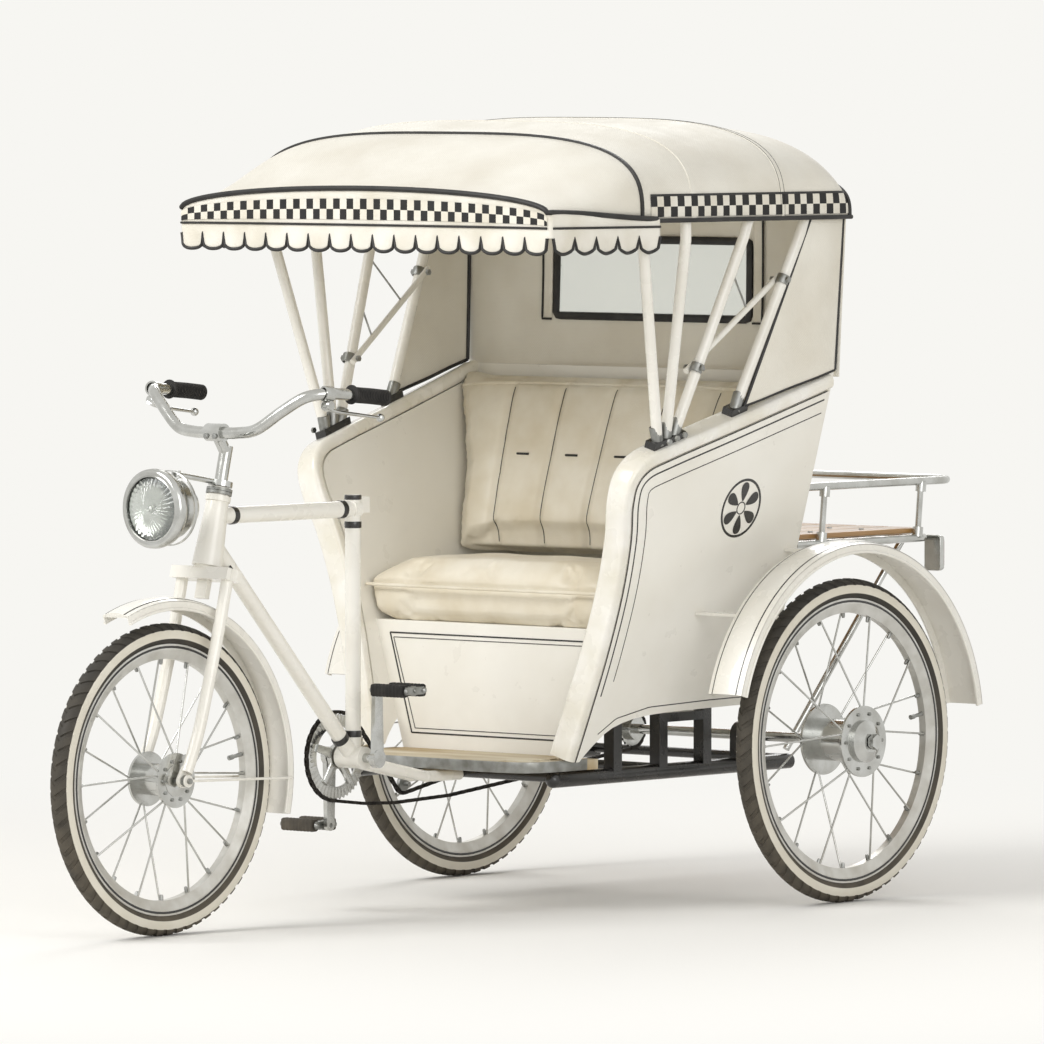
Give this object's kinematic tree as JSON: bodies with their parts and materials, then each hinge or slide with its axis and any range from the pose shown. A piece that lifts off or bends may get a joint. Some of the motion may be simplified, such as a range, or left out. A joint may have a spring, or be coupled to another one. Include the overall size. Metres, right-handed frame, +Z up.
{
  "type": "hooded cycle rickshaw",
  "caption": "Three-wheeled pedal rickshaw with a roadster front end, flared two-seat body, folding-style hood with scalloped valance, and rear luggage rack.",
  "frame": {"origin": "middle of the vehicle's length and width, on the ground", "axes": "+Z up, -Y forward, +X to the rider's left"},
  "size_m": [1.302, 2.499, 1.7142],
  "materials": {
    "enamel": "gloss white enamel",
    "chassis_enamel": "satin white enamel",
    "body_paint": "gloss white painted plywood",
    "coaming_paint": "gloss white painted hardwood",
    "footboard_wood": "sealed plank",
    "guard_paint": "gloss white enamel with black lining",
    "upholstery": "smooth ivory leathercloth",
    "bow_steel": "satin white enamel",
    "hood_cloth": "matt coated canvas",
    "bright_steel": "bright plated",
    "platform_wood": "varnished boards",
    "tail_glass": "red reflector",
    "chain_steel": "oiled",
    "grip_rubber": "matt black",
    "lens_glass": "clear moulded",
    "tyre_rubber": "black with white sidewalls",
    "rim_steel": "bright plated"
  },
  "bodies": {
    "chassis": {"main_frame": "enamel", "chassis": "chassis_enamel", "axle_bearings": "chassis_enamel", "footboard": "footboard_wood", "left_side_wall": "body_paint", "right_side_wall": "body_paint", "left_coaming": "coaming_paint", "right_coaming": "coaming_paint", "back_panel": "body_paint", "seat_box": "body_paint", "seat_cushion": "upholstery", "seat_back": "upholstery", "hood_bow_front": "bow_steel", "hood_bow_upright": "bow_steel", "hood_bow_middle": "bow_steel", "hood_bow_rear": "bow_steel", "hood_brackets": "bow_steel", "hood_braces": "bow_steel", "hood_roof": "hood_cloth", "hood_back": "hood_cloth", "hood_quarters": "hood_cloth", "hood_valance": "hood_cloth", "left_mudguard": "guard_paint", "right_mudguard": "guard_paint", "luggage_rack": "bright_steel", "rack_platform": "platform_wood", "tail_lamps": "tail_glass", "chain": "chain_steel", "chain_idler": "chain_steel"},
    "steering": {"fork": "enamel", "stem": "bright_steel", "handlebar": "bright_steel", "grips": "grip_rubber", "brake_levers": "bright_steel", "headlamp": "bright_steel", "headlamp_lens": "lens_glass", "lamp_bracket": "bright_steel", "front_mudguard": "guard_paint", "front_axle": "bright_steel"},
    "front_wheel": {"front_tyre": "tyre_rubber", "front_rim": "rim_steel", "front_hub": "rim_steel"},
    "left_wheel": {"left_tyre": "tyre_rubber", "left_rim": "rim_steel", "left_hub": "rim_steel"},
    "driven_wheel": {"right_tyre": "tyre_rubber", "right_rim": "rim_steel", "right_hub": "rim_steel", "rear_axle": "bright_steel"},
    "crankset": {"crankset": "bright_steel", "chainring": "bright_steel"},
    "left_pedal": {"left_pedal": "grip_rubber"},
    "right_pedal": {"right_pedal": "grip_rubber"}
  },
  "joints": [
    {"name": "steering_turn", "type": "hinge", "parent": "chassis", "child": "steering", "pos_m": [0, -0.7545, 0.86], "axis": [0, 0.2419, 0.9703], "range_deg": [-40, 40]},
    {"name": "front_wheel_spin", "type": "hinge", "parent": "steering", "child": "front_wheel", "pos_m": [0, -0.9195, 0.33], "axis": [1, 0, 0], "continuous": true},
    {"name": "left_wheel_spin", "type": "hinge", "parent": "chassis", "child": "left_wheel", "pos_m": [0.555, 0.6805, 0.355], "axis": [1, 0, 0], "continuous": true},
    {"name": "driven_wheel_spin", "type": "hinge", "parent": "chassis", "child": "driven_wheel", "pos_m": [-0.555, 0.6805, 0.355], "axis": [1, 0, 0], "continuous": true},
    {"name": "crank_spin", "type": "hinge", "parent": "chassis", "child": "crankset", "pos_m": [0, -0.3095, 0.345], "axis": [1, 0, 0], "continuous": true},
    {"name": "left_pedal_spin", "type": "hinge", "parent": "crankset", "child": "left_pedal", "pos_m": [0.13, -0.3095, 0.495], "axis": [1, 0, 0], "continuous": true},
    {"name": "right_pedal_spin", "type": "hinge", "parent": "crankset", "child": "right_pedal", "pos_m": [-0.13, -0.3095, 0.195], "axis": [1, 0, 0], "continuous": true}
  ]
}
